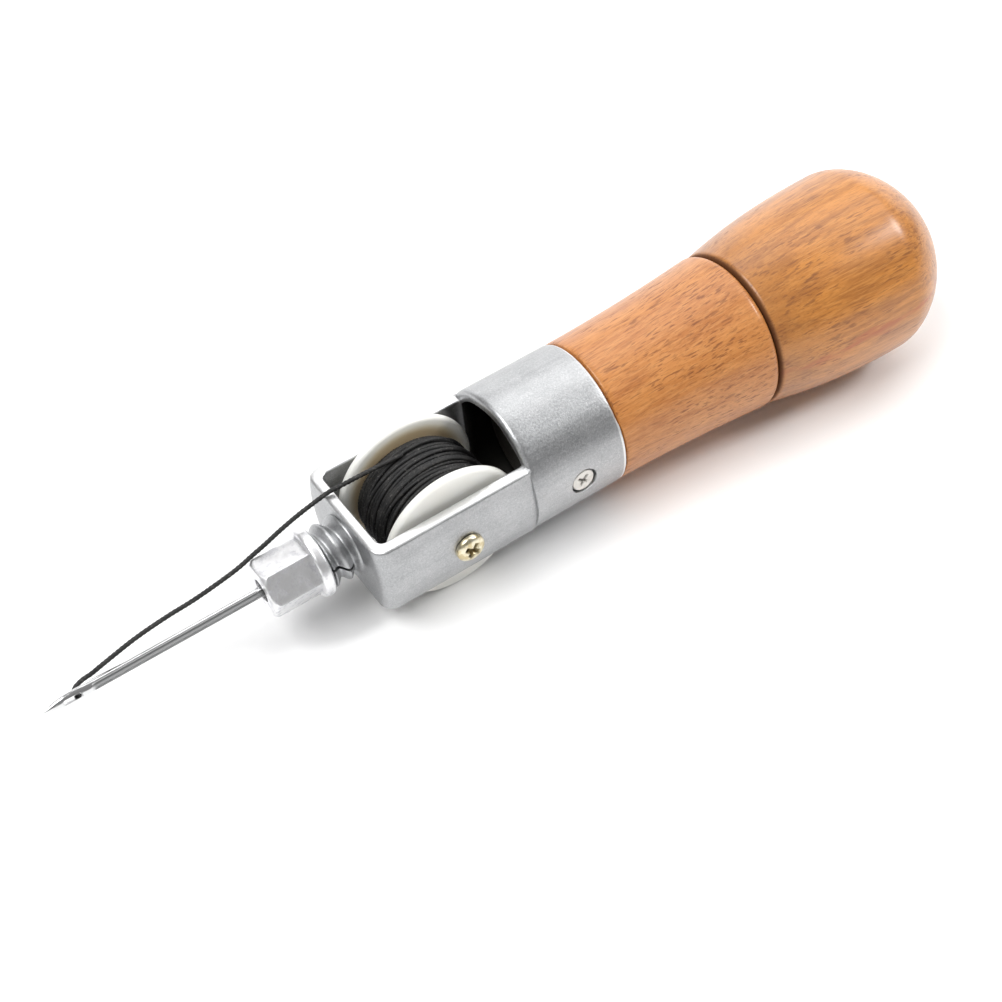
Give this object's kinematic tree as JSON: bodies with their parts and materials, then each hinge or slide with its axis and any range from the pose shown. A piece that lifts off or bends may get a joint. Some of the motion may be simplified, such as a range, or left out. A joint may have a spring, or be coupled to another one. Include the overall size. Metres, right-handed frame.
{
  "type": "sewing awl",
  "caption": "Lock-stitch sewing awl: cast bobbin frame with screw chuck and needle on a hollow turned wooden handle with a pull-off cap.",
  "frame": {"origin": "on the tool's axis, half way between the needle's tip and the butt of the handle", "axes": "+X along the axis towards the handle's butt (the needle points to -X), +Z out of the bobbin window, Y along the bobbin's axle with the screw's head at -Y"},
  "size_m": [0.179, 0.0358, 0.0358],
  "materials": {
    "cast_metal": "satin die-cast metal, faintly mottled",
    "bright_metal": "bright turned and tumbled metal",
    "needle_steel": "polished nickel-plated steel",
    "bobbin_plastic": "cream moulded plastic, semi-gloss",
    "waxed_thread": "black waxed twisted thread",
    "brass": "yellow-plated screw",
    "grip_wood": "varnished turned beech",
    "cap_wood": "varnished turned beech, a shade darker",
    "wrench_steel": "plated stamped steel"
  },
  "bodies": {
    "frame": {"frame_casting": "cast_metal", "ferrule_screw": "bright_metal", "handle_grip": "grip_wood", "working_thread": "waxed_thread", "spare_needle_heavy": "needle_steel", "spare_needle_fine": "needle_steel", "wrench": "wrench_steel"},
    "bobbin": {"bobbin": "bobbin_plastic", "thread_winding": "waxed_thread"},
    "axle_screw": {"axle_screw": "brass"},
    "chuck_nut": {"chuck_nut": "bright_metal"},
    "needle": {"needle": "needle_steel"},
    "handle_cap": {"handle_cap": "cap_wood"}
  },
  "joints": [
    {"name": "bobbin_spin", "type": "hinge", "parent": "frame", "child": "bobbin", "pos_m": [-0.0185, 0, -0.0008], "axis": [0, 1, 0], "continuous": true},
    {"name": "axle_screw_out", "type": "slide", "parent": "frame", "child": "axle_screw", "axis": [0, -1, 0], "range_m": [0, 0.03]},
    {"name": "chuck_nut_turn", "type": "hinge", "parent": "frame", "child": "chuck_nut", "pos_m": [-0.045, 0, 0], "axis": [1, 0, 0], "range_deg": [0, 720]},
    {"name": "needle_out", "type": "slide", "parent": "frame", "child": "needle", "axis": [-1, 0, 0], "range_m": [0, 0.014], "deforming": ["working_thread"]},
    {"name": "handle_cap_off", "type": "slide", "parent": "frame", "child": "handle_cap", "axis": [1, 0, 0], "range_m": [0, 0.045]}
  ]
}
